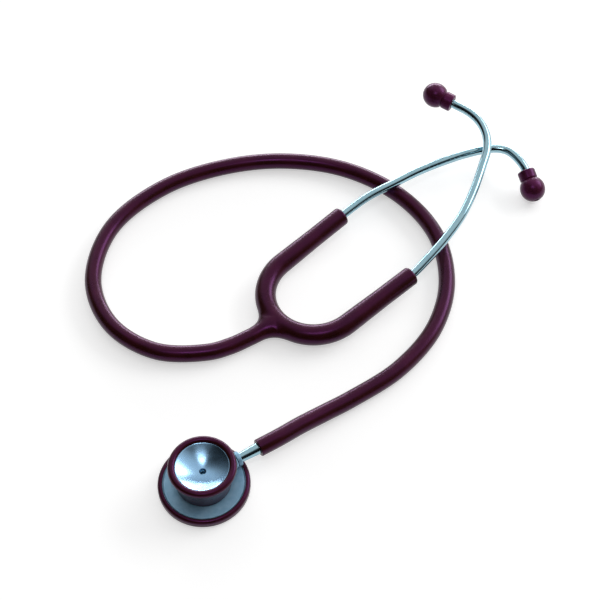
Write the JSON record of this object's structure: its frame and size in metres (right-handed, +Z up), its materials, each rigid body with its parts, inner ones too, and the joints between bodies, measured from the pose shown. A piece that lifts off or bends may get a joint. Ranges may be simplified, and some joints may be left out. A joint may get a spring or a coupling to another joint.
{
  "type": "stethoscope",
  "caption": "Single-tube stethoscope lying in a loop: two-sided chestpiece with bell and diaphragm, moulded yoke, bent steel ear tubes crossed at their ends, soft ear tips.",
  "frame": {"origin": "centre of the diaphragm's flat face, which rests on the table with the chestpiece's bell upwards", "axes": "+Z up from the table through the diaphragm and the bell; +Y from the chestpiece towards the loop of tube; the stem points 31.3 degrees from +X towards +Y"},
  "size_m": [0.264, 0.2787, 0.0353],
  "materials": {
    "burgundy_vinyl": "glossy flexible vinyl, dark burgundy with a purple sheen",
    "soft_tip": "smooth soft rubber, plum",
    "polished_metal": "polished steel",
    "satin_metal": "satin turned metal",
    "spring_steel": "dark tempered steel",
    "membrane": "thin translucent laminate",
    "seal_rubber": "matte black seal rubber"
  },
  "bodies": {
    "tube_and_yoke": {"tubing": "burgundy_vinyl", "yoke": "burgundy_vinyl", "leaf_spring": "spring_steel", "stem": "polished_metal", "stem_o_ring": "seal_rubber"},
    "chestpiece": {"chestpiece_body": "satin_metal", "bell_cup": "polished_metal", "bell_sleeve": "burgundy_vinyl", "diaphragm": "membrane", "diaphragm_rim": "burgundy_vinyl", "stem_collar": "satin_metal", "detent_ball": "polished_metal", "detent_spring": "spring_steel", "detent_screw": "spring_steel"},
    "left_ear_tube": {"ear_tube_left": "polished_metal", "spring_clip_left": "spring_steel", "tip_nipple_left": "polished_metal"},
    "right_ear_tube": {"ear_tube_right": "polished_metal", "spring_clip_right": "spring_steel", "tip_nipple_right": "polished_metal"},
    "left_ear_tip": {"ear_tip_left": "soft_tip"},
    "right_ear_tip": {"ear_tip_right": "soft_tip"}
  },
  "joints": [
    {"name": "chestpiece_turn", "type": "hinge", "parent": "tube_and_yoke", "child": "chestpiece", "pos_m": [0, 0, 0.0096], "axis": [0.8545, 0.5195, 0], "continuous": true},
    {"name": "left_ear_tube_spring", "type": "hinge", "parent": "tube_and_yoke", "child": "left_ear_tube", "pos_m": [0.03137, 0.11473, 0.00672], "axis": [0, 0, 1], "range_deg": [0, 36], "stiffness_Nm_per_rad": 1.7, "deforming": ["yoke", "leaf_spring"]},
    {"name": "right_ear_tube_spring", "type": "hinge", "parent": "tube_and_yoke", "child": "right_ear_tube", "pos_m": [0.05255, 0.09075, 0.00672], "axis": [0, 0, -1], "range_deg": [0, 20], "stiffness_Nm_per_rad": 1.7, "deforming": ["yoke", "leaf_spring"]},
    {"name": "left_ear_tip_pull", "type": "slide", "parent": "left_ear_tube", "child": "left_ear_tip", "axis": [0.3147, -0.8672, -0.3858], "range_m": [0, 0.012]},
    {"name": "right_ear_tip_pull", "type": "slide", "parent": "right_ear_tube", "child": "right_ear_tip", "axis": [-0.8613, 0.4965, 0.1082], "range_m": [0, 0.012]}
  ]
}
